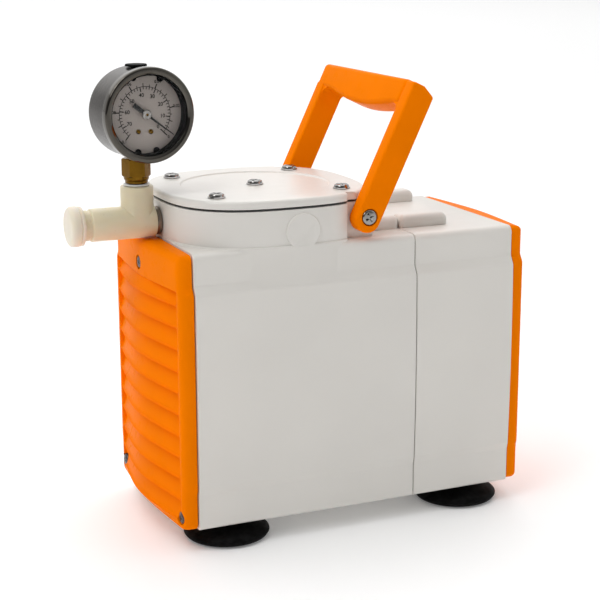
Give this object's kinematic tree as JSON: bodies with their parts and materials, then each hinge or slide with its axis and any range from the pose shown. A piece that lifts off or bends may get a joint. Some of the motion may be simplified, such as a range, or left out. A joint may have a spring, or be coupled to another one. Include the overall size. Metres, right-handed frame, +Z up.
{
  "type": "diaphragm vacuum pump",
  "caption": "Small oil-less diaphragm vacuum pump: white cast casing, orange louvred ends and carry handle, round pump head with an inlet tee and dial gauge.",
  "frame": {"origin": "centre of the whole pump's box, on the surface that the feet stand on", "axes": "+X towards the mains end (the inlet tee and gauge are at -X), +Y to the back, +Z up; the gauge dial faces -Y"},
  "size_m": [0.2696, 0.129, 0.2711],
  "materials": {
    "white_paint": "smooth semi-gloss white paint on cast aluminium",
    "orange_plastic": "satin moulded plastic",
    "black_rubber": "matt black rubber",
    "nylon": "milky natural nylon, slightly translucent",
    "white_tape": "white sealing washer",
    "brass": "machined brass",
    "steel": "polished stainless steel",
    "zinc_screw": "bright plated screws",
    "cast_alloy": "bare cast and machined aluminium",
    "laminations": "stacked electrical steel",
    "copper_wire": "varnished copper wire",
    "black_plastic": "black moulded plastic",
    "dial_plate": "pale grey printed dial",
    "clear_window": "clear window",
    "capacitor_can": "drawn can"
  },
  "bodies": {
    "base": {"pump_housing": "white_paint", "motor_housing": "white_paint", "split_gasket": "black_rubber", "inlet_end_panel": "orange_plastic", "mains_end_panel": "orange_plastic", "inlet_panel_screw_1": "zinc_screw", "inlet_panel_screw_2": "zinc_screw", "inlet_panel_screw_3": "zinc_screw", "mains_panel_screw_1": "zinc_screw", "mains_panel_screw_2": "zinc_screw", "mains_panel_screw_3": "zinc_screw", "foot_front_left": "black_rubber", "foot_front_right": "black_rubber", "foot_back_left": "black_rubber", "foot_back_right": "black_rubber", "head_gasket": "black_rubber", "head_cover": "white_paint", "cover_screw_1": "zinc_screw", "cover_screw_2": "zinc_screw", "cover_screw_3": "zinc_screw", "cover_screw_4": "zinc_screw", "cover_screw_5": "zinc_screw", "valve_block": "cast_alloy", "diaphragm": "black_rubber", "front_bearing": "steel", "rear_bearing": "steel", "front_bracket": "cast_alloy", "rear_bracket": "cast_alloy", "stator_core": "laminations", "front_winding": "copper_wire", "rear_winding": "copper_wire", "run_capacitor": "capacitor_can", "exhaust_silencer": "brass", "mains_socket": "black_plastic", "pivot_screw_front": "zinc_screw", "pivot_screw_back": "zinc_screw", "tee_fitting": "nylon", "inlet_nipple": "steel", "stem_seal": "white_tape", "gauge_stem": "brass", "gauge_case": "steel", "gauge_bezel": "steel", "gauge_window": "clear_window", "gauge_dial": "dial_plate", "gauge_fill_plug": "black_rubber", "bourdon_tube": "brass"},
    "handle": {"carry_handle": "orange_plastic"},
    "motor_rotor": {"crank": "cast_alloy", "motor_shaft": "steel", "rotor": "laminations", "cooling_fan": "black_plastic"},
    "rod": {"connecting_rod": "cast_alloy", "rod_bearing": "steel", "diaphragm_clamp": "cast_alloy"},
    "intake_flap": {"intake_valve": "black_rubber"},
    "exhaust_flap": {"exhaust_valve": "black_rubber"},
    "cap": {"inlet_cap": "nylon"},
    "needle": {"gauge_needle": "black_plastic"},
    "rocker": {"power_rocker": "black_plastic"}
  },
  "joints": [
    {"name": "handle_swing", "type": "hinge", "parent": "base", "child": "handle", "pos_m": [0.0237, 0, 0.1851], "axis": [0, 1, 0], "range_deg": [-33, 60]},
    {"name": "motor_spin", "type": "hinge", "parent": "base", "child": "motor_rotor", "pos_m": [-0.0217, 0, 0.092], "axis": [1, 0, 0], "continuous": true, "deforming": ["diaphragm"]},
    {"name": "rod_on_crank_pin", "type": "hinge", "parent": "motor_rotor", "child": "rod", "pos_m": [-0.0217, 0, 0.0895], "axis": [1, 0, 0], "continuous": true},
    {"name": "intake_flap_lift", "type": "slide", "parent": "base", "child": "intake_flap", "axis": [0, 0, -1], "range_m": [0, 0.0008]},
    {"name": "exhaust_flap_lift", "type": "slide", "parent": "base", "child": "exhaust_flap", "axis": [0, 0, 1], "range_m": [0, 0.0008]},
    {"name": "cap_pull", "type": "slide", "parent": "base", "child": "cap", "axis": [-1, 0, 0], "range_m": [0, 0.012]},
    {"name": "needle_turn", "type": "hinge", "parent": "base", "child": "needle", "pos_m": [-0.0939, 0, 0.2443], "axis": [0.0958, -0.9954, 0], "range_deg": [-7, 266]},
    {"name": "rocker_tip", "type": "hinge", "parent": "base", "child": "rocker", "pos_m": [0.1251, 0.022, 0.149], "axis": [0, -1, 0], "range_deg": [0, 14]}
  ],
  "couplings": [
    {"joint": "rod_on_crank_pin", "follows": "motor_spin", "ratio": -1}
  ]
}
